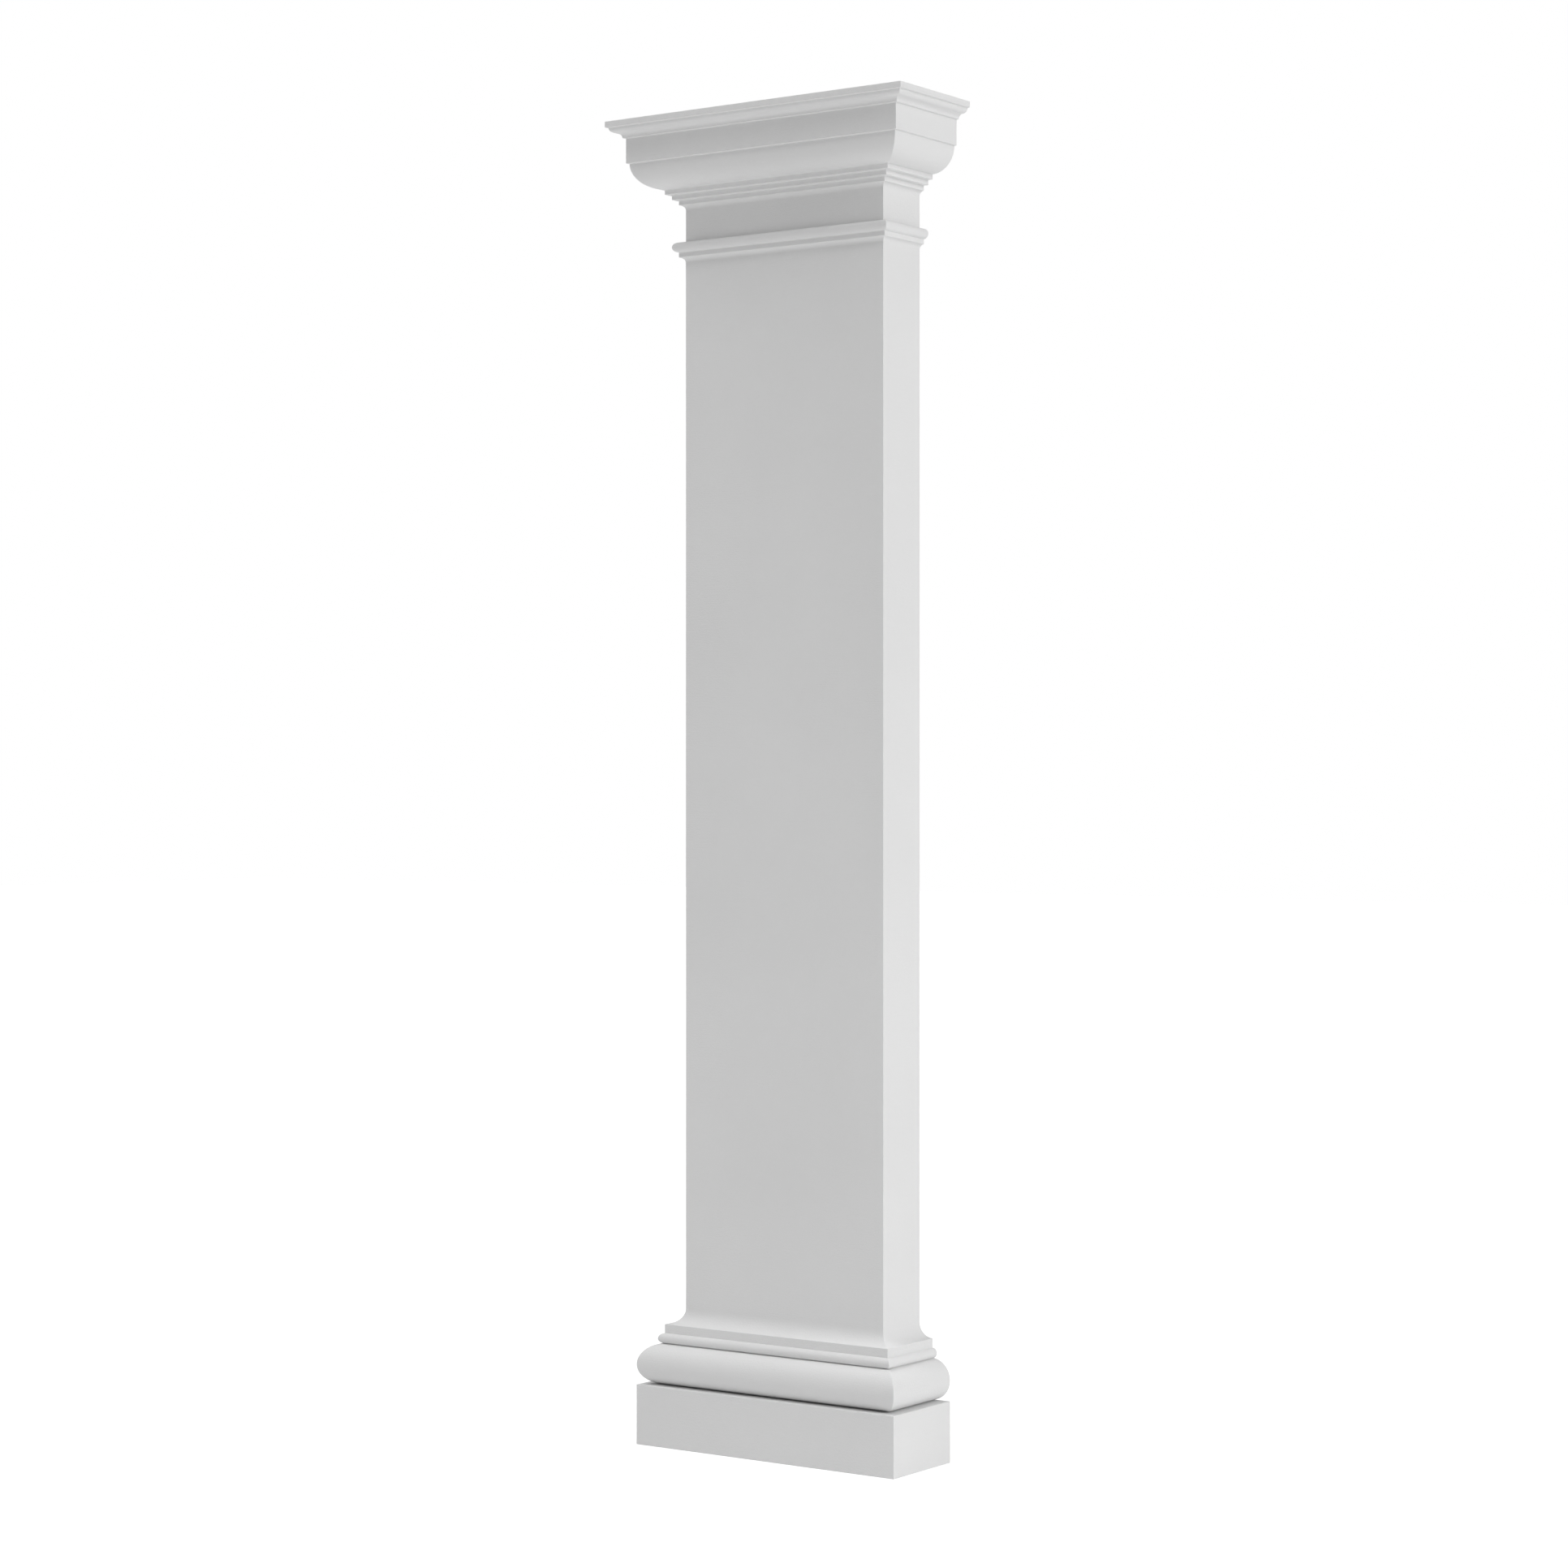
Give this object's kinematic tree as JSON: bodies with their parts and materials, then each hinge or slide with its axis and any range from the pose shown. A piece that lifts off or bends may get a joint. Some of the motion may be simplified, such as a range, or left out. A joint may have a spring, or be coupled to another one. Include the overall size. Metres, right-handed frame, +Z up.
{
  "type": "pilaster",
  "caption": "White Roman Doric pilaster: square plinth, torus base, plain straight shaft and moulded capital, mitred round the front and both sides, with a flat back.",
  "frame": {"origin": "middle of the underside, under the middle of the whole width and the whole depth", "axes": "+Z up along the shaft, -Y out of the front face, +Y towards the wall, +X to the right as seen from the front"},
  "size_m": [0.702, 0.243, 2.6259],
  "materials": {
    "painted_plaster": "white matt paint on cast plaster"
  },
  "bodies": {
    "root": {"plinth": "painted_plaster", "base": "painted_plaster", "shaft": "painted_plaster", "capital": "painted_plaster"}
  },
  "joints": []
}
